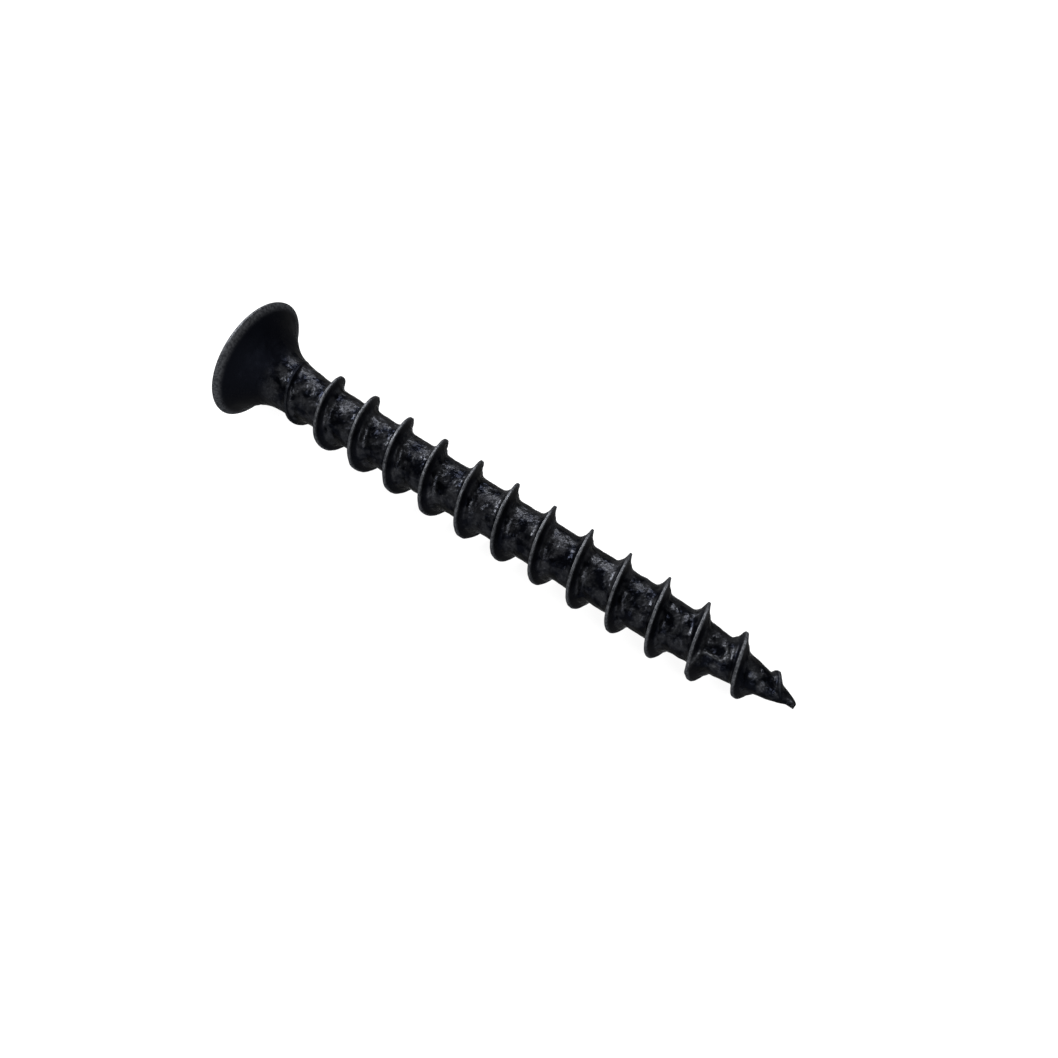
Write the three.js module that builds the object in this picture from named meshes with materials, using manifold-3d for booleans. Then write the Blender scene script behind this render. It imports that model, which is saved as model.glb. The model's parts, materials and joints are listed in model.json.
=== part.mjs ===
// A wood screw with a countersunk bugle head, a cross recess and a coarse single-start thread.
// It is one piece of steel. It is modelled upright, with the head's face at z = 0 and the tip at
// z = LENGTH, and then laid on its side as it rests on a bench, the tip towards +X.

import * as THREE from 'three';
import * as BufferGeometryUtils from 'three/addons/utils/BufferGeometryUtils.js';
import { ParametricGeometry } from 'three/addons/geometries/ParametricGeometry.js';
import Module from 'manifold-3d';

// Driving dimensions, in millimetres and degrees.

const LENGTH = 42;

const HEAD_RADIUS = 4.25;
const HEAD_OFFSET = 0.32;
const TIP_OFFSET = 0.1;
const RIM_ROUNDING = 0.22;
const FLARE_END = 4.5;
const FLARE_POWER = 2.5;

const NECK_RADIUS = 1.77;
const NECK_END = 3.8;
const CORE_START = 6.16;
const CORE_RADIUS = 1.57;
const POINT_LENGTH = 11.37;
const POINT_FULLNESS = 2.27;
const POINT_BLUNTNESS = 1.47;
const POINT_BEND_LENGTH = 5;

const PITCH = 2.82;
const THREAD_RADIUS = 2.41;
const THREAD_START = 2.45;
const THREAD_RISE_LENGTH = 5.14;
const THREAD_END_GAP = 0.65;
const THREAD_FALL_LENGTH = 0.59;
const THREAD_PHASE = 2.64;
const THREAD_POINT_LENGTH = 10.52;
const THREAD_POINT_FULLNESS = 3.34;
const THREAD_BURIED_FRACTION = 0.8;
const CREST_HALF_WIDTH = 0.08;
const HEAD_SIDE_FLANK_ANGLE = 13;
const TIP_SIDE_FLANK_ANGLE = 21;

const RECESS_DEPTH = 2.5;
const RECESS_SPAN = 4.7;
const RECESS_WING_WIDTH = 1.05;
const RECESS_FLOOR_SCALE = 0.62;
const RECESS_CORE_RADIUS = 1.25;
const RECESS_TIP_DEPTH = 3;

// How finely the round forms are faceted.

const SIDES = 24;
const RIM_STEPS = 4;
const FLARE_STEPS = 12;
const SHOULDER_STEPS = 4;
const POINT_STEPS = 10;
const POINT_STEP_CROWDING = 1.6;

const { clamp, degToRad, lerp, smoothstep } = THREE.MathUtils;

// Radii along the screw's axis.

// A curve that is 1 away from the tip and falls to 0 at the tip over the given length.
function pointTaper(z, length, fullness) {
  const fromTip = clamp((LENGTH - z) / length, 0, 1);
  return 1 - (1 - fromTip) ** fullness;
}

// The neck, the core and the blunt-nosed point, without the thread.
function coreRadius(z) {
  const shank = lerp(NECK_RADIUS, CORE_RADIUS, smoothstep(z, NECK_END, CORE_START));
  return shank * pointTaper(z, POINT_LENGTH, POINT_FULLNESS) ** (1 / POINT_BLUNTNESS);
}

// The head's concave underside, from the rim down to the neck.
function flareRadius(z) {
  const along = clamp((z - RIM_ROUNDING) / (FLARE_END - RIM_ROUNDING), 0, 1);
  return coreRadius(z) + (HEAD_RADIUS - NECK_RADIUS) * (1 - along) ** FLARE_POWER;
}

// The thread grows out of the neck, keeps its full height, and shrinks again at the point.
function crestRadius(z) {
  const core = coreRadius(z);
  const full = THREAD_RADIUS * pointTaper(z, THREAD_POINT_LENGTH, THREAD_POINT_FULLNESS);
  const rise = smoothstep(z, THREAD_START, THREAD_START + THREAD_RISE_LENGTH);
  const fall = smoothstep(LENGTH - z, THREAD_END_GAP, THREAD_END_GAP + THREAD_FALL_LENGTH);
  return core + Math.max(full - core, 0) * rise * fall;
}

// The head was struck a little to one side of the shank's axis, towards +Y, and the tip was
// pinched off a little to the other side.
function sideShift(z) {
  const head = HEAD_OFFSET * (1 - smoothstep(z, RIM_ROUNDING, FLARE_END));
  return head - TIP_OFFSET * smoothstep(z, LENGTH - POINT_BEND_LENGTH, LENGTH);
}

// Solids.

const wasm = await Module();
wasm.setup();

// A closed geometry as a Manifold solid. Triangles that shrank to a line at an axis are dropped.
function toSolid(geometry) {
  const bare = geometry.clone();
  bare.deleteAttribute('normal');
  bare.deleteAttribute('uv');
  const merged = BufferGeometryUtils.mergeVertices(bare, 1e-5);
  const corners = merged.index.array;
  const triangles = [];
  for (let i = 0; i < corners.length; i += 3) {
    const [a, b, c] = corners.slice(i, i + 3);
    if (a !== b && b !== c && c !== a) {
      triangles.push(a, b, c);
    }
  }
  return new wasm.Manifold(new wasm.Mesh({
    numProp: 3,
    vertProperties: new Float32Array(merged.attributes.position.array),
    triVerts: new Uint32Array(triangles),
  }));
}

function toGeometry(solid) {
  const { vertProperties, triVerts } = solid.getMesh();
  const geometry = new THREE.BufferGeometry();
  geometry.setAttribute('position', new THREE.BufferAttribute(vertProperties, 3));
  geometry.setIndex(new THREE.BufferAttribute(triVerts, 1));
  geometry.computeVertexNormals();
  return geometry;
}

// A profile of (radius, z) points turned about the z axis, with a facet square to the x axis.
function revolve(profile) {
  const geometry = new THREE.LatheGeometry(profile, SIDES, Math.PI / SIDES);
  geometry.rotateX(Math.PI / 2);
  return geometry;
}

// The head's flat face, its rounded rim, the concave underside, the neck, the core and the point.
function blankSolid() {
  const profile = [new THREE.Vector2(0, 0)];
  for (let i = 0; i <= RIM_STEPS; i += 1) {
    const turn = (Math.PI / 2) * (i / RIM_STEPS);
    profile.push(new THREE.Vector2(
      HEAD_RADIUS - RIM_ROUNDING * (1 - Math.sin(turn)),
      RIM_ROUNDING * (1 - Math.cos(turn)),
    ));
  }
  for (let i = 1; i <= FLARE_STEPS; i += 1) {
    const z = lerp(RIM_ROUNDING, FLARE_END, i / FLARE_STEPS);
    profile.push(new THREE.Vector2(flareRadius(z), z));
  }
  for (let i = 1; i <= SHOULDER_STEPS; i += 1) {
    const z = lerp(FLARE_END, CORE_START, i / SHOULDER_STEPS);
    profile.push(new THREE.Vector2(coreRadius(z), z));
  }
  for (let i = 0; i < POINT_STEPS; i += 1) {
    const z = LENGTH - POINT_LENGTH * (1 - i / POINT_STEPS) ** POINT_STEP_CROWDING;
    profile.push(new THREE.Vector2(coreRadius(z), z));
  }
  profile.push(new THREE.Vector2(0, LENGTH));

  const geometry = revolve(profile);
  const { position } = geometry.attributes;
  for (let i = 0; i < position.count; i += 1) {
    position.setY(i, position.getY(i) + sideShift(position.getZ(i)));
  }
  return toSolid(geometry);
}

// The thread is a trapezoid swept along a right-handed helix. Its inner edge is buried in the
// core, and it has no height at its two ends, so it closes on itself.
function threadSolid() {
  const stepRise = PITCH / SIDES;
  const firstStep = Math.floor((THREAD_START - THREAD_PHASE) / stepRise) + 0.5;
  const lastStep = Math.floor((LENGTH - THREAD_END_GAP - THREAD_PHASE) / stepRise) + 0.5;
  const headSideSlope = Math.tan(degToRad(HEAD_SIDE_FLANK_ANGLE));
  const tipSideSlope = Math.tan(degToRad(TIP_SIDE_FLANK_ANGLE));

  function threadPoint(along, around, target) {
    const step = lerp(firstStep, lastStep, along);
    const angle = (step / SIDES) * 2 * Math.PI;
    const z = THREAD_PHASE + step * stepRise;
    const crest = crestRadius(z);
    const buried = coreRadius(z) * THREAD_BURIED_FRACTION;
    const isEnd = along === 0 || along === 1;
    const corner = Math.round(around * 4) % 4;
    const isCrest = corner === 1 || corner === 2;
    const isHeadSide = corner === 0 || corner === 1;
    const radius = isCrest && !isEnd ? crest : buried;
    const slope = isHeadSide ? -headSideSlope : tipSideSlope;
    const halfCrest = isHeadSide ? -CREST_HALF_WIDTH : CREST_HALF_WIDTH;
    const offset = isEnd ? 0 : halfCrest + (crest - radius) * slope;
    const shift = sideShift(z + offset);
    target.set(radius * Math.cos(angle), radius * Math.sin(angle) + shift, z + offset);
  }

  return toSolid(new ParametricGeometry(threadPoint, lastStep - firstStep, 4));
}

// One pair of opposite wings: a tapering bar across the head, rising above its face.
function recessWings(angle) {
  const depthScale = (RECESS_FLOOR_SCALE - 1) / RECESS_DEPTH;
  const above = 0.4;
  const height = RECESS_DEPTH + above;
  const openScale = 1 - depthScale * above;
  const wings = new THREE.CylinderGeometry(RECESS_FLOOR_SCALE, openScale, height, 4);
  wings.rotateX(Math.PI / 2);
  wings.rotateZ(Math.PI / 4);
  wings.scale(RECESS_SPAN / Math.SQRT2, RECESS_WING_WIDTH / Math.SQRT2, 1);
  wings.rotateZ(angle);
  wings.translate(0, HEAD_OFFSET, RECESS_DEPTH - height / 2);
  return toSolid(wings);
}

// The round middle of the cross recess, which runs down to a shallow cone.
function recessCore() {
  const above = 0.4;
  const core = revolve([
    new THREE.Vector2(0, -above),
    new THREE.Vector2(RECESS_CORE_RADIUS, -above),
    new THREE.Vector2(RECESS_CORE_RADIUS * RECESS_FLOOR_SCALE, RECESS_DEPTH),
    new THREE.Vector2(0, RECESS_TIP_DEPTH),
  ]);
  core.translate(0, HEAD_OFFSET, 0);
  return toSolid(core);
}

// The screw lies on the facets along its underside: on the widest one of its head and on that of
// the crest that needs the least tilt.
function lyingTilt() {
  const toFacet = Math.cos(Math.PI / SIDES);
  const tilts = [];
  for (let z = THREAD_PHASE + PITCH; z < LENGTH; z += PITCH) {
    const drop = (HEAD_RADIUS - crestRadius(z)) * toFacet;
    tilts.push(Math.atan2(drop, z - RIM_ROUNDING));
  }
  return Math.min(...tilts);
}

const blackPhosphate = new THREE.MeshStandardMaterial({
  color: 0x1b1c20,
  roughness: 0.48,
  metalness: 0.55,
});

const solid = blankSolid()
  .add(threadSolid())
  .subtract(recessWings(0))
  .subtract(recessWings(Math.PI / 2))
  .subtract(recessCore());

const screw = new THREE.Mesh(toGeometry(solid), blackPhosphate);
screw.name = 'screw';
screw.rotation.y = Math.PI / 2 + lyingTilt();

// The origin is the middle of the footprint, on the surface that the screw lies on.
const part = new THREE.Group();
part.add(screw);
const extent = new THREE.Box3().setFromObject(part, true);
const middle = extent.getCenter(new THREE.Vector3());
screw.position.set(-middle.x, -middle.y, -extent.min.z);

export default part;
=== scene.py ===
"""A black phosphated wood screw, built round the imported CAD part.

The screw is made upright and in millimetres: its axis is +z, the head's face is at z = 0 and the
tip is at z = LENGTH. The finished mesh is laid where the CAD solid lies and scaled to metres.
"""

import json
import math

import bmesh
import bpy
import numpy as np
from mathutils import Matrix, Vector, noise


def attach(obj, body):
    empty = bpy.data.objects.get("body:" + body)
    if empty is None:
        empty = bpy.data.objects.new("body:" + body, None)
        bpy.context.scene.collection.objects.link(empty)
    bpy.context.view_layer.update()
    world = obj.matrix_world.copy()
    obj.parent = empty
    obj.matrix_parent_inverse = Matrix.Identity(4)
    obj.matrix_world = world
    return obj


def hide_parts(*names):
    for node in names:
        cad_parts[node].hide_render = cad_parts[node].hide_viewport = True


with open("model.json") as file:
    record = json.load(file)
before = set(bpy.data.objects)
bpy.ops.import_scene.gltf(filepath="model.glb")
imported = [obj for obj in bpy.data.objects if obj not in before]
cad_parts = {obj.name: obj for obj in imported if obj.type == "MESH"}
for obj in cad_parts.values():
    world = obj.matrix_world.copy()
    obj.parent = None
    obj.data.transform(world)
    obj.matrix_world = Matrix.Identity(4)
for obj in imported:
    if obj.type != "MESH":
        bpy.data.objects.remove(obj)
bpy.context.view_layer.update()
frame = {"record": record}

MM = 0.001

# The screw's driving dimensions, in millimetres and degrees, as in the CAD model.
LENGTH = 42.0
HEAD_RADIUS = 4.25
HEAD_OFFSET = 0.32
TIP_OFFSET = 0.1
RIM_ROUNDING = 0.22
FLARE_END = 4.5
FLARE_POWER = 2.5
NECK_RADIUS = 1.77
NECK_END = 3.8
CORE_START = 6.16
CORE_RADIUS = 1.57
POINT_LENGTH = 11.37
POINT_FULLNESS = 2.27
POINT_BLUNTNESS = 1.47
POINT_BEND_LENGTH = 5.0
PITCH = 2.82
THREAD_RADIUS = 2.41
THREAD_START = 2.45
THREAD_RISE_LENGTH = 5.14
THREAD_END_GAP = 0.65
THREAD_FALL_LENGTH = 0.59
THREAD_PHASE = 2.64
THREAD_POINT_LENGTH = 10.52
THREAD_POINT_FULLNESS = 3.34
CREST_HALF_WIDTH = 0.08
HEAD_SIDE_FLANK_ANGLE = 13.0
TIP_SIDE_FLANK_ANGLE = 21.0
RECESS_DEPTH = 2.5
RECESS_SPAN = 4.7
RECESS_WING_WIDTH = 1.05
RECESS_FLOOR_SCALE = 0.62
RECESS_CORE_RADIUS = 1.25
RECESS_TIP_DEPTH = 3.0

# The head_face mount lies this far from the middle of the head, between two of the recess's wings.
MOUNT_RADIUS = 3.1
MOUNT_ANGLE = 45.0

# Fine shape that the CAD model leaves out. The flanks are slightly hollow, and they spread near
# the tip, over the stretch between these two distances from it.
FLANK_HOLLOW = 0.92
FLANK_SPREAD = 0.4
FLANK_SPREAD_START = 8.0
FLANK_SPREAD_END = 3.0
LEAST_THREAD_HEIGHT = 1e-3

# A fillet runs out along the core from each root, and the flank blends into it. Both are smaller
# where the thread is low.
ROOT_FILLET_HEIGHT = 0.26
ROOT_FILLET_LENGTH = 0.56
ROOT_FILLET_SHARE = 0.32
ROOT_FILLET_POWER = 4
ROOT_BLEND = 0.34
ROOT_BLEND_LEAST = 0.06

# How far the head's edge and the recess's mouth are rounded, and how square the recess's wings are
# and how sharply they meet its round middle.
LIP_ROUNDING = 0.12
MOUTH_ROUNDING = 0.09
WING_SQUARENESS = 9.0
WING_JOINING = 14.0

# Lumps in the steel: for each kind its size, how much it is squeezed along the screw, where in the
# noise it is taken, and its share of the height.
LUMP_HEIGHT = 0.03
LUMP_KINDS = ((1.3, 1.0, 3.0, 1.0), (0.8, 2.0, 17.0, 0.8), (0.3, 1.0, 41.0, 0.6))

# A lap that rolling left near the point: a low curled ridge through these places, each a height
# in millimetres and an angle in degrees.
LAP_PATH = (
    (35.6, 272.0),
    (35.85, 226.0),
    (36.1, 219.0),
    (37.1, 218.0),
    (37.25, 192.0),
    (36.9, 178.0),
)
LAP_HEIGHT = 0.1
LAP_WIDTH = 0.1

# Where the coat is rubbed; on the crests the paler rubbed colour is also a painted highlight line.
# Each pair is the stretch over which the rubbing sets in or fades out: up a crest, as shares of the
# thread's height, with the thread's height itself, and down from the rim.
CREST_WEAR_AND_HIGHLIGHT = (0.8, 0.97)
WORN_AND_HIGHLIGHT_THREAD_HEIGHT = (0.1, 0.7)
RIM_WEAR = (0.3, 0.62)
MOUTH_WEAR = 0.7

# Where the surface is lumpy. It sets in where the head's smooth underside ends, and it mostly fades
# out again up the thread's flanks, over these shares of the thread's height.
SHANK_FROM = (2.2, 3.6)
FLANK_FROM = (0.08, 0.4)
FLANK_SMOOTHNESS = 0.85

# How finely the mesh is divided.
AROUND = 192
ROWS_PER_PITCH = 48
ROW_CROWDING = 0.35
RECESS_WALL_LOOPS = 10
MOUTH_LOOPS = 5
FACE_LOOPS = 8
RIM_LOOPS = 10
FLARE_LOOPS = 20
FLARE_CROWDING = 1.5

# Where the face's first loop lies, as a share of the way from the recess's mouth to the rim, and
# how far under the rim the spiral rows start.
FACE_START = 0.12
SPIRAL_START = 1.1

# Vertices nearer than this are joined, and edges shorter than this are dropped.
MERGE_DISTANCE = 1e-4
SLIVER_LENGTH = 1e-5


def smoothstep(x, low, high):
    t = np.clip((x - low) / (high - low), 0.0, 1.0)
    return t * t * (3.0 - 2.0 * t)


def smooth_max(a, b, width):
    overlap = np.maximum(width - np.abs(a - b), 0.0) / width
    return np.maximum(a, b) + overlap * overlap * width / 4.0


def smooth_min(a, b, width):
    return -smooth_max(-a, -b, width)


def point_taper(z, length, fullness):
    """1 away from the tip, falling to 0 at the tip over the given length."""
    from_tip = np.clip((LENGTH - z) / length, 0.0, 1.0)
    return 1.0 - (1.0 - from_tip) ** fullness


def core_radius(z):
    """Radius of the neck, the core and the point, without the thread."""
    shank = NECK_RADIUS + (CORE_RADIUS - NECK_RADIUS) * smoothstep(z, NECK_END, CORE_START)
    return shank * point_taper(z, POINT_LENGTH, POINT_FULLNESS) ** (1.0 / POINT_BLUNTNESS)


def blank_radius(z):
    """Radius of the whole screw without its thread, from the head's rim to the tip."""
    along = np.clip((z - RIM_ROUNDING) / (FLARE_END - RIM_ROUNDING), 0.0, 1.0)
    flared = core_radius(z) + (HEAD_RADIUS - NECK_RADIUS) * (1.0 - along) ** FLARE_POWER
    return smooth_min(flared, HEAD_RADIUS, LIP_ROUNDING)


def thread_height(z):
    """Height of the crest above the core, for a crest at z."""
    full = THREAD_RADIUS * point_taper(z, THREAD_POINT_LENGTH, THREAD_POINT_FULLNESS)
    rise = smoothstep(z, THREAD_START, THREAD_START + THREAD_RISE_LENGTH)
    fall = smoothstep(LENGTH - z, THREAD_END_GAP, THREAD_END_GAP + THREAD_FALL_LENGTH)
    return np.maximum(full - core_radius(z), 0.0) * rise * fall


def thread_profile(offset, height, crest):
    """Share of the thread's height, and distance past its root, at an offset from its crest.

    The share is 1 on the crest and below 0 past the root. The flanks spread near the tip, where
    the thread was pinched down with the point.
    """
    angle = np.where(offset < 0.0, HEAD_SIDE_FLANK_ANGLE, TIP_SIDE_FLANK_ANGLE)
    pinched = smoothstep(crest, LENGTH - FLANK_SPREAD_START, LENGTH - FLANK_SPREAD_END)
    spread = 1.0 + FLANK_SPREAD * pinched
    flank_width = np.maximum(height, LEAST_THREAD_HEIGHT) * np.tan(np.radians(angle)) * spread
    past_crest = np.maximum(np.abs(offset) - CREST_HALF_WIDTH, 0.0)
    return 1.0 - (past_crest / flank_width) ** FLANK_HOLLOW, past_crest - flank_width


def ripple(x, y, z, size, seed):
    """Smooth noise between about -1 and 1 whose bumps are about size millimetres across."""
    return noise.noise(Vector((x / size + seed, y / size, z / size)))


def lap_share(angle, z):
    """1 along the top of the lap, falling to 0 beside it.

    The distance from the lap's path is measured on the core unrolled to a flat sheet, on which
    around runs across z.
    """
    radius = float(core_radius(np.array(LAP_PATH[0][0])))
    around = np.mod(angle, 2.0 * math.pi) * radius
    distance = np.full(z.shape, np.inf)
    for (start_z, start_angle), (end_z, end_angle) in zip(LAP_PATH, LAP_PATH[1:]):
        start_around = math.radians(start_angle) * radius
        rise = end_z - start_z
        run = math.radians(end_angle) * radius - start_around
        along = (z - start_z) * rise + (around - start_around) * run
        reach = np.clip(along / (rise**2 + run**2), 0.0, 1.0)
        beside = np.hypot(z - start_z - reach * rise, around - start_around - reach * run)
        distance = np.minimum(distance, beside)
    return np.exp(-((distance / LAP_WIDTH) ** 2))


def first_step():
    """Index of the first column, chosen so that the spiral rows start under the head's rim."""
    start = RIM_ROUNDING + SPIRAL_START
    return round((start + PITCH / 2.0 - THREAD_PHASE) / PITCH * AROUND)


def column_angles(count):
    """Angles of the first columns of the mesh, in radians."""
    return (np.arange(count) + first_step()) * (2.0 * math.pi / AROUND)


def shank_points():
    """A spiral ribbon of rows that follow the thread, so that every crest is a clean line.

    Each column stands at one angle and runs half a pitch to either side of the crest, with its
    rows closest together on the crest. The ribbon's upper edge meets its own lower edge one turn
    on. Over the first turn it widens from nothing, so it starts on a level ring, and at the end it
    closes on the tip.
    """
    top = THREAD_PHASE + PITCH * first_step() / AROUND - PITCH / 2.0
    columns = AROUND + math.ceil((LENGTH - top) / PITCH * AROUND) + 1
    turns = (np.arange(columns) / AROUND)[:, None]
    spread = np.linspace(-1.0, 1.0, ROWS_PER_PITCH + 1)[None, :-1]
    row = 0.5 + 0.5 * (ROW_CROWDING * spread + (1.0 - ROW_CROWDING) * spread**3)
    z = top + PITCH * np.maximum(turns - 1.0, 0.0) + PITCH * row * np.minimum(turns, 1.0)
    crest = top + PITCH * (turns - 0.5)
    height = thread_height(crest)
    share, past_root = thread_profile(z - crest, height, crest)
    thread = core_radius(crest) + height * share
    nearness = np.clip(1.0 - past_root / ROOT_FILLET_LENGTH, 0.0, 1.0)
    fillet = np.minimum(ROOT_FILLET_HEIGHT, ROOT_FILLET_SHARE * height)
    root = blank_radius(z) + fillet * nearness**ROOT_FILLET_POWER
    threaded = smooth_max(root, thread, np.clip(height, ROOT_BLEND_LEAST, ROOT_BLEND))
    radius = np.where(turns >= 1.0, threaded, blank_radius(z))
    angle = column_angles(columns)[:, None] + np.zeros_like(z)
    lap = lap_share(angle, z)
    radius = radius + LAP_HEIGHT * lap
    # Rubbed crests: the pale crest line is partly real wear and partly a painted highlight.
    wear_and_highlight = smoothstep(share, *CREST_WEAR_AND_HIGHLIGHT) * smoothstep(height, *WORN_AND_HIGHLIGHT_THREAD_HEIGHT)
    wear_and_highlight = np.maximum(wear_and_highlight, lap)
    flank = smoothstep(share, *FLANK_FROM)
    lumpy = smoothstep(z, *SHANK_FROM) * (1.0 - FLANK_SMOOTHNESS * flank)
    return radius, angle, z, wear_and_highlight, lumpy, top


def recess_outline(angle, grow, depth):
    """Radius of the cross recess at each angle, grown outwards by grow, at a depth."""
    scale = 1.0 + (RECESS_FLOOR_SCALE - 1.0) * min(depth / RECESS_DEPTH, 1.0)
    half_span = RECESS_SPAN / 2.0 * scale + grow
    half_width = RECESS_WING_WIDTH / 2.0 * scale + grow
    middle = RECESS_CORE_RADIUS * scale + grow
    bars = []
    for turn in (0.0, math.pi / 2.0):
        along = np.abs(np.cos(angle - turn)) / half_span
        across = np.abs(np.sin(angle - turn)) / half_width
        corners = along**WING_SQUARENESS + across**WING_SQUARENESS
        bars.append(corners ** (-1.0 / WING_SQUARENESS))
    joined = bars[0] ** WING_JOINING + bars[1] ** WING_JOINING + middle**WING_JOINING
    return joined ** (1.0 / WING_JOINING)


def head_loops(top):
    """Closed loops from the bottom of the recess, over the face and the rim, to the shank.

    Each loop is (radius, z, wear, shift): shift is how far it follows the head to one side.
    """
    angle = column_angles(AROUND)
    full = np.ones(AROUND)
    loops = []

    def add(radius, depth, wear_and_highlight=0.0, shift=1.0):
        loops.append((radius * full, depth * full, wear_and_highlight * full, shift * HEAD_OFFSET * full))

    middle = RECESS_CORE_RADIUS * RECESS_FLOOR_SCALE
    add(0.0, RECESS_TIP_DEPTH)
    for share in (0.25, 0.5, 0.75, 1.0):
        add(middle * share, RECESS_TIP_DEPTH + (RECESS_DEPTH - RECESS_TIP_DEPTH) * share)
    floor = recess_outline(angle, 0.0, RECESS_DEPTH)
    for share in (0.5, 0.9):
        add(middle + (floor - middle) * share, RECESS_DEPTH)
    wall_top = 1.5 * MOUTH_ROUNDING
    for depth in np.linspace(RECESS_DEPTH, wall_top, RECESS_WALL_LOOPS):
        add(recess_outline(angle, 0.0, depth), depth)
    for turn in np.linspace(0.0, math.pi / 2.0, MOUTH_LOOPS):
        grow = MOUTH_ROUNDING * (1.0 - math.cos(turn))
        depth = MOUTH_ROUNDING * (1.0 - math.sin(turn))
        add(recess_outline(angle, grow, 0.0), depth, MOUTH_WEAR)
    mouth = recess_outline(angle, MOUTH_ROUNDING, 0.0)
    flat = HEAD_RADIUS - RIM_ROUNDING
    for share in np.linspace(FACE_START, 1.0, FACE_LOOPS):
        add(mouth + (flat - mouth) * share, 0.0)
    rim = float(blank_radius(np.array(RIM_ROUNDING))) - flat
    for turn in np.linspace(0.0, math.pi / 2.0, RIM_LOOPS)[1:]:
        depth = RIM_ROUNDING * (1.0 - math.cos(turn))
        add(flat + rim * math.sin(turn), depth, math.sin(turn) ** 2)
    for share in np.linspace(0.0, 1.0, FLARE_LOOPS)[1:-1] ** FLARE_CROWDING:
        depth = RIM_ROUNDING + (top - RIM_ROUNDING) * share
        wear_and_highlight = 1.0 - smoothstep(depth, *RIM_WEAR)
        add(blank_radius(depth), depth, wear_and_highlight, side_shift(depth) / HEAD_OFFSET)
    return loops, angle


def side_shift(z):
    """How far off the axis each height lies: the head towards +y, the tip a little towards -y."""
    head = HEAD_OFFSET * (1.0 - smoothstep(z, RIM_ROUNDING, FLARE_END))
    return head - TIP_OFFSET * smoothstep(z, LENGTH - POINT_BEND_LENGTH, LENGTH)


def rough_up(radius, angle, z):
    """Adds the slight lumps that rolling and heading leave on the steel, as a radius change."""
    x = radius * np.cos(angle)
    y = radius * np.sin(angle)
    lumps = np.zeros(radius.shape)
    for index in np.ndindex(radius.shape):
        for size, squeeze, seed, share in LUMP_KINDS:
            lump = ripple(x[index], y[index], z[index] * squeeze, size, seed)
            lumps[index] += share * lump
    return radius + LUMP_HEIGHT * lumps * np.clip(radius, 0.0, 1.0)


def screw_faces(loop_count, columns, rows):
    """The four corners of every face: the head's loops first, then the shank's ribbon."""
    shank_start = loop_count * AROUND
    tip = shank_start + columns * rows
    faces = []
    for loop in range(loop_count - 1):
        for i in range(AROUND):
            after = (i + 1) % AROUND
            near = loop * AROUND
            far = near + AROUND
            faces.append((near + i, near + after, far + after, far + i))
    last = shank_start - AROUND

    def shank_vertex(column, row):
        if row == rows:
            column += AROUND
            row = 0
        if column >= columns:
            return tip
        return shank_start + column * rows + row

    for i in range(AROUND):
        after = (i + 1) % AROUND
        faces.append((last + i, last + after, shank_vertex(i + 1, 0), shank_vertex(i, 0)))
    for column in range(columns - 1):
        for row in range(rows):
            faces.append((
                shank_vertex(column, row),
                shank_vertex(column + 1, row),
                shank_vertex(column + 1, row + 1),
                shank_vertex(column, row + 1),
            ))
    return faces


def screw_mesh():
    """The whole screw, upright, in millimetres, with each vertex's wear, painted crest highlight
    and lumpiness.
    """
    radius, angle, z, wear_and_highlight, lumpy, top = shank_points()
    radius = rough_up(radius, angle, z)
    past_tip = z >= LENGTH
    radius = np.where(past_tip, 0.0, radius)
    z = np.where(past_tip, LENGTH, z)
    columns, rows = z.shape

    loops, ring_angle = head_loops(top)
    ring_radius, ring_z, ring_wear, ring_shift = (np.array(part) for part in zip(*loops))
    ring_angle = ring_angle[None, :] + np.zeros_like(ring_z)

    all_radius = np.concatenate([ring_radius.ravel(), radius.ravel(), [0.0]])
    all_angle = np.concatenate([ring_angle.ravel(), angle.ravel(), [0.0]])
    all_z = np.concatenate([ring_z.ravel(), z.ravel(), [LENGTH]])
    all_wear_and_highlight = np.concatenate([ring_wear.ravel(), wear_and_highlight.ravel(), [1.0]])
    all_lumpy = np.concatenate([np.zeros(ring_z.size), lumpy.ravel(), [1.0]])
    all_shift = np.concatenate([ring_shift.ravel(), side_shift(z).ravel(), [-TIP_OFFSET]])
    x = all_radius * np.cos(all_angle)
    y = all_radius * np.sin(all_angle) + all_shift

    mesh = bpy.data.meshes.new("screw_body")
    points = np.stack([x, y, all_z], 1).tolist()
    mesh.from_pydata(points, [], screw_faces(len(loops), columns, rows))
    # The wear mask also carries the painted highlight along the crests.
    for name, values in (("wear_and_highlight", all_wear_and_highlight), ("lumpy", all_lumpy)):
        layer = mesh.attributes.new(name, "FLOAT", "POINT")
        layer.data.foreach_set("value", values.astype(np.float32))
    mesh.validate()
    return mesh


def clean(mesh):
    """Joins the coincident vertices, drops what shrank to nothing and points the faces out."""
    solid = bmesh.new()
    solid.from_mesh(mesh)
    bmesh.ops.remove_doubles(solid, verts=solid.verts, dist=MERGE_DISTANCE)
    bmesh.ops.dissolve_degenerate(solid, edges=solid.edges, dist=SLIVER_LENGTH)
    bmesh.ops.recalc_face_normals(solid, faces=solid.faces)
    for face in solid.faces:
        face.smooth = True
    solid.to_mesh(mesh)
    solid.free()


def lying_place():
    """The matrix that takes the upright screw in millimetres to its place on the floor.

    Also where the middle of the head's face then is. Both come from the head_face mount.
    """
    mount = next(m for m in frame["record"]["mounts"] if m["name"] == "head_face")
    outward = Vector(mount["axis"])
    tilt = math.asin(outward.z)
    turn = Matrix.Rotation(math.pi / 2.0 + tilt, 4, "Y")
    angle = math.radians(MOUNT_ANGLE)
    on_face = Vector((math.cos(angle), math.sin(angle), 0.0)) * MOUNT_RADIUS * MM
    on_face.y += HEAD_OFFSET * MM
    head_centre = Vector(mount["pos_m"]) - turn @ on_face
    return Matrix.Translation(head_centre) @ turn @ Matrix.Scale(MM, 4), head_centre


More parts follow.
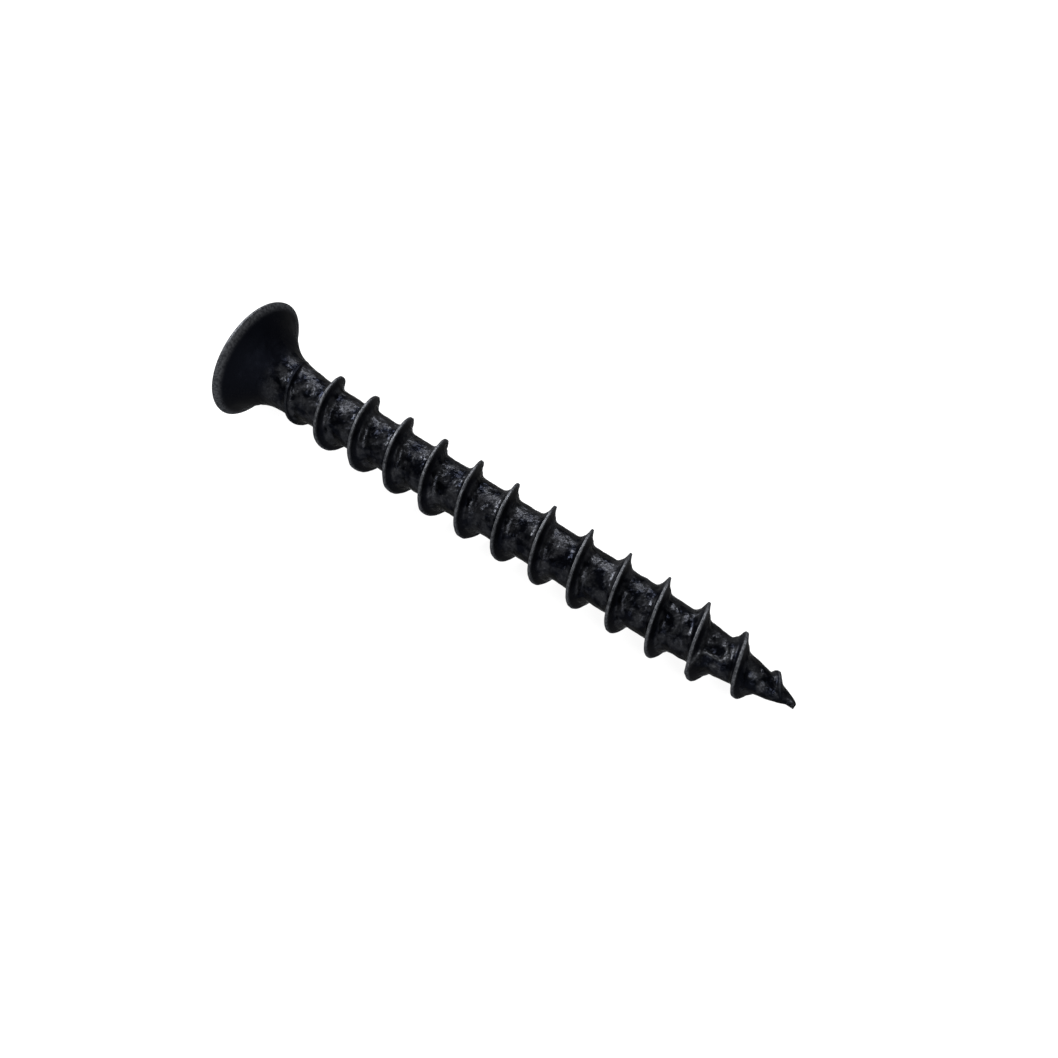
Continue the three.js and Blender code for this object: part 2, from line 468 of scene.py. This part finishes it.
def build_screw():
    mesh = screw_mesh()
    clean(mesh)
    place, head_centre = lying_place()
    mesh.transform(place)
    screw = bpy.data.objects.new("screw_body", mesh)
    bpy.context.scene.collection.objects.link(screw)
    return screw, head_centre


# The materials.

# Sizes of the noise and depths of the bumps, in millimetres.
GRAIN_SIZE = 0.09
GRAIN_DEPTH = 0.012
SPECK_SIZE = 0.16
BUMP_SIZE = 0.6
BUMP_DEPTH = 0.2
PATCH_SIZE = 0.8
FLOOR_PATCH_SIZE = 40.0

# How strong the bumps are: the fine ones everywhere, and the broad ones on the head and the shank.
GRAIN_STRENGTH = 0.5
BUMP_STRENGTH = (0.1, 0.85)

DARK_COAT = (0.0026, 0.0030, 0.0046)
PALE_COAT = (0.0150, 0.0156, 0.0179)
DUST = (0.036, 0.0373, 0.0397)
# Rubbed coat colour, which on the crests also stands in for a painted highlight.
RUBBED_AND_HIGHLIGHT_COAT = (0.056, 0.058, 0.063)
GRAZING_TINT = (0.118, 0.126, 0.148, 1.0)
METALNESS = 0.85
SPECULAR_LEVEL = 0.15

# The stretch of the noise over which the coat turns pale, gathers dust and is rubbed through, and
# how much dust and rubbing there is. The rubbed colour on the crests is also a painted highlight.
PALE_PATCHES = (0.42, 0.6)
DUSTY_SPECKS = (0.5, 0.7)
DUST_SHARE = (0.0, 0.5)
RUBBED_AND_HIGHLIGHT_SPECKS = (0.35, 0.6)
RUBBED_AND_HIGHLIGHT_SHARE = (0.35, 1.0)

# Roughness of the shank, over a stretch of the noise, and what the smooth head adds to it.
ROUGH_PATCHES = (0.35, 0.65)
SHANK_ROUGHNESS = (0.28, 0.42)
HEAD_ROUGHNESS_GAIN = 0.2

WHITE = (1.0, 1.0, 1.0, 1.0)
FLOOR_TONES = ((0.1, 0.1, 0.1), (0.11, 0.11, 0.11))
FLOOR_ROUGHNESS = 0.9
FLOOR_SPECULAR_LEVEL = 0.1
FLOOR_GLOW = 0.93

# The whole range of a mask.
FULL = (0.0, 1.0)


class Nodes:
    """A few short cuts for a material's node tree."""

    def __init__(self, name):
        self.material = bpy.data.materials.new(name)
        self.material.use_nodes = True
        self.tree = self.material.node_tree
        self.shader = self.tree.nodes["Principled BSDF"]

    def add(self, kind, **settings):
        node = self.tree.nodes.new(kind)
        for key, value in settings.items():
            setattr(node, key, value)
        return node

    def link(self, source, target):
        self.tree.links.new(source, target)

    def noise(self, coordinates, size, roughness=0.5):
        """Noise whose bumps are about size millimetres across."""
        node = self.add("ShaderNodeTexNoise")
        node.inputs["Scale"].default_value = 1.0 / (size * MM)
        node.inputs["Detail"].default_value = 2.0
        node.inputs["Roughness"].default_value = roughness
        self.link(coordinates, node.inputs["Vector"])
        return node.outputs["Fac"]

    def remap(self, value, source, target):
        """Moves the stretch between the two source values to the one between the two targets."""
        node = self.add("ShaderNodeMapRange", clamp=True)
        node.inputs["From Min"].default_value, node.inputs["From Max"].default_value = source
        node.inputs["To Min"].default_value, node.inputs["To Max"].default_value = target
        self.link(value, node.inputs["Value"])
        return node.outputs["Result"]

    def mix_colour(self, factor, a, b):
        """Colour a where the factor is 0 and b where it is 1: each a tuple or a socket."""
        node = self.add("ShaderNodeMix", data_type="RGBA")
        self.link(factor, node.inputs["Factor"])
        colour_a, colour_b, mixed = node.inputs[6], node.inputs[7], node.outputs[2]
        for socket, colour in ((colour_a, a), (colour_b, b)):
            if isinstance(colour, tuple):
                socket.default_value = (*colour, 1.0)
            else:
                self.link(colour, socket)
        return mixed

    def math(self, operation, a, b):
        node = self.add("ShaderNodeMath", operation=operation)
        for socket, value in zip(node.inputs, (a, b)):
            if isinstance(value, (int, float)):
                socket.default_value = value
            else:
                self.link(value, socket)
        return node.outputs["Value"]

    def bump(self, height, distance, strength, normal=None):
        """The normal, bent by a height that is distance millimetres deep."""
        node = self.add("ShaderNodeBump")
        if isinstance(strength, float):
            node.inputs["Strength"].default_value = strength
        else:
            self.link(strength, node.inputs["Strength"])
        node.inputs["Distance"].default_value = distance * MM
        self.link(height, node.inputs["Height"])
        if normal is not None:
            self.link(normal, node.inputs["Normal"])
        return node.outputs["Normal"]


def black_phosphate():
    """A dark crystalline coat with an oily gloss, rubbed paler on the crests and the rim. On the
    crests the paler rubbed colour is also a painted highlight line.

    The rolled shank is lumpy and blotched. The head's underside, shaped in a die, is smooth.
    """
    nodes = Nodes("black_phosphate")
    place = nodes.add("ShaderNodeTexCoord").outputs["Object"]
    grain = nodes.noise(place, GRAIN_SIZE, 0.6)
    bumps = nodes.noise(place, BUMP_SIZE)
    patches = nodes.noise(place, PATCH_SIZE, 0.55)
    specks = nodes.noise(place, SPECK_SIZE)
    wear_and_highlight = nodes.add("ShaderNodeAttribute", attribute_name="wear_and_highlight").outputs["Fac"]
    lumpy = nodes.add("ShaderNodeAttribute", attribute_name="lumpy").outputs["Fac"]

    tone = nodes.math("MULTIPLY", nodes.remap(patches, PALE_PATCHES, FULL), lumpy)
    coat = nodes.mix_colour(tone, DARK_COAT, PALE_COAT)
    dust = nodes.math("MULTIPLY", nodes.remap(specks, DUSTY_SPECKS, DUST_SHARE), tone)
    dusty = nodes.mix_colour(dust, coat, DUST)
    # Rubbed coat on the crests, rim, mouth and lap; on the crests it is also a painted highlight.
    rubbed_and_highlight = nodes.math("MULTIPLY", wear_and_highlight, nodes.remap(specks, RUBBED_AND_HIGHLIGHT_SPECKS, RUBBED_AND_HIGHLIGHT_SHARE))
    colour = nodes.mix_colour(rubbed_and_highlight, dusty, RUBBED_AND_HIGHLIGHT_COAT)
    nodes.link(colour, nodes.shader.inputs["Base Color"])

    uneven = nodes.remap(patches, ROUGH_PATCHES, SHANK_ROUGHNESS)
    gain = nodes.remap(lumpy, FULL, (HEAD_ROUGHNESS_GAIN, 0.0))
    roughness = nodes.math("ADD", uneven, gain)
    nodes.link(roughness, nodes.shader.inputs["Roughness"])
    nodes.shader.inputs["Metallic"].default_value = METALNESS
    nodes.shader.inputs["Specular IOR Level"].default_value = SPECULAR_LEVEL
    nodes.shader.inputs["Specular Tint"].default_value = GRAZING_TINT

    bumpy = nodes.bump(bumps, BUMP_DEPTH, nodes.remap(lumpy, FULL, BUMP_STRENGTH))
    grainy = nodes.bump(grain, GRAIN_DEPTH, GRAIN_STRENGTH, bumpy)
    nodes.link(grainy, nodes.shader.inputs["Normal"])
    return nodes.material


def pale_floor():
    """A grey board that glows almost white, so that the screw's shadow on it stays faint."""
    nodes = Nodes("pale_floor")
    place = nodes.add("ShaderNodeTexCoord").outputs["Object"]
    tone = nodes.noise(place, FLOOR_PATCH_SIZE)
    colour = nodes.mix_colour(tone, *FLOOR_TONES)
    nodes.link(colour, nodes.shader.inputs["Base Color"])
    nodes.shader.inputs["Roughness"].default_value = FLOOR_ROUGHNESS
    nodes.shader.inputs["Specular IOR Level"].default_value = FLOOR_SPECULAR_LEVEL
    nodes.shader.inputs["Emission Color"].default_value = WHITE
    nodes.shader.inputs["Emission Strength"].default_value = FLOOR_GLOW
    return nodes.material


# The studio.

# The camera: its lens, sensor and distance in millimetres, the way to it in degrees, and where it
# aims, in millimetres from the middle of the head's face. It sees from 1 mm to 10 m.
CAMERA_LENS = 44.23
SENSOR_WIDTH = 36.0
CAMERA_DISTANCE = 81.93
CAMERA_AZIMUTH = 35.22
CAMERA_ELEVATION = 56.78
CAMERA_AIM = (22.34, 0.64, -1.76)
CLIP_START = 0.001
CLIP_END = 10.0

# Half the width of the floor, in metres.
FLOOR_REACH = 3.0

# The lamps, all at the same distance in metres: each one's name, azimuth and elevation in degrees,
# width and height in metres, and power in watts.
SOFTBOX_DISTANCE = 0.6
SOFTBOXES = (
    ("back_softbox", 200.0, 44.0, 0.2, 0.14, 4.1),
    ("tip_softbox", 56.0, 48.0, 0.18, 0.18, 3.2),
    ("front_softbox", 20.0, 15.0, 0.3, 0.12, 1.3),
    ("head_softbox", 268.0, 38.0, 0.22, 0.22, 11.5),
)

# Brightness of the room at floor level and overhead, and the sine of the angle where it has faded.
WALL_STRENGTH = 0.9
CEILING_STRENGTH = 0.03
WALL_FADE_HEIGHT = 0.34


def direction(azimuth, elevation):
    """Unit vector towards a camera or lamp: azimuth 0 is on the -Y side, 90 on the +X side."""
    a = math.radians(azimuth)
    e = math.radians(elevation)
    return Vector((math.sin(a) * math.cos(e), -math.cos(a) * math.cos(e), math.sin(e)))


def add_camera(head_centre):
    data = bpy.data.cameras.new("camera")
    data.lens = CAMERA_LENS
    data.sensor_width = SENSOR_WIDTH
    data.clip_start = CLIP_START
    data.clip_end = CLIP_END
    camera = bpy.data.objects.new("camera", data)
    bpy.context.scene.collection.objects.link(camera)
    back = direction(CAMERA_AZIMUTH, CAMERA_ELEVATION)
    aim = head_centre + Vector(CAMERA_AIM) * MM
    camera.location = aim + back * CAMERA_DISTANCE * MM
    camera.rotation_euler = back.to_track_quat("Z", "Y").to_euler()
    bpy.context.scene.camera = camera


def add_softbox(name, azimuth, elevation, width, height, power):
    """A white rectangular lamp that faces the screw."""
    data = bpy.data.lights.new(name, "AREA")
    data.shape = "RECTANGLE"
    data.size = width
    data.size_y = height
    data.energy = power
    lamp = bpy.data.objects.new(name, data)
    bpy.context.scene.collection.objects.link(lamp)
    back = direction(azimuth, elevation)
    lamp.location = back * SOFTBOX_DISTANCE
    lamp.rotation_euler = back.to_track_quat("Z", "Y").to_euler()


def add_floor():
    mesh = bpy.data.meshes.new("floor")
    signs = ((-1, -1), (1, -1), (1, 1), (-1, 1))
    corners = [(x * FLOOR_REACH, y * FLOOR_REACH, 0.0) for x, y in signs]
    mesh.from_pydata(corners, [], [(0, 1, 2, 3)])
    mesh.materials.append(pale_floor())
    floor = bpy.data.objects.new("floor", mesh)
    bpy.context.scene.collection.objects.link(floor)


def add_walls():
    """The room round the floor: pale at floor level, dim overhead so that the lamps do the work."""
    world = bpy.data.worlds.new("studio")
    world.use_nodes = True
    nodes = world.node_tree.nodes
    link = world.node_tree.links.new
    background = nodes["Background"]
    background.inputs["Color"].default_value = WHITE
    outward = nodes.new("ShaderNodeTexCoord").outputs["Generated"]
    parts = nodes.new("ShaderNodeSeparateXYZ")
    link(outward, parts.inputs["Vector"])
    fade = nodes.new("ShaderNodeMapRange")
    fade.interpolation_type = "SMOOTHSTEP"
    fade.inputs["From Min"].default_value = 0.0
    fade.inputs["From Max"].default_value = WALL_FADE_HEIGHT
    fade.inputs["To Min"].default_value = WALL_STRENGTH
    fade.inputs["To Max"].default_value = CEILING_STRENGTH
    link(parts.outputs["Z"], fade.inputs["Value"])
    link(fade.outputs["Result"], background.inputs["Strength"])
    bpy.context.scene.world = world


def add_studio():
    add_walls()
    for softbox in SOFTBOXES:
        add_softbox(*softbox)
    bpy.context.scene.view_settings.view_transform = "Standard"


screw, head_centre = build_screw()
screw.data.materials.append(black_phosphate())
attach(screw, "root")
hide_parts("screw")

add_floor()
add_studio()
add_camera(head_centre)
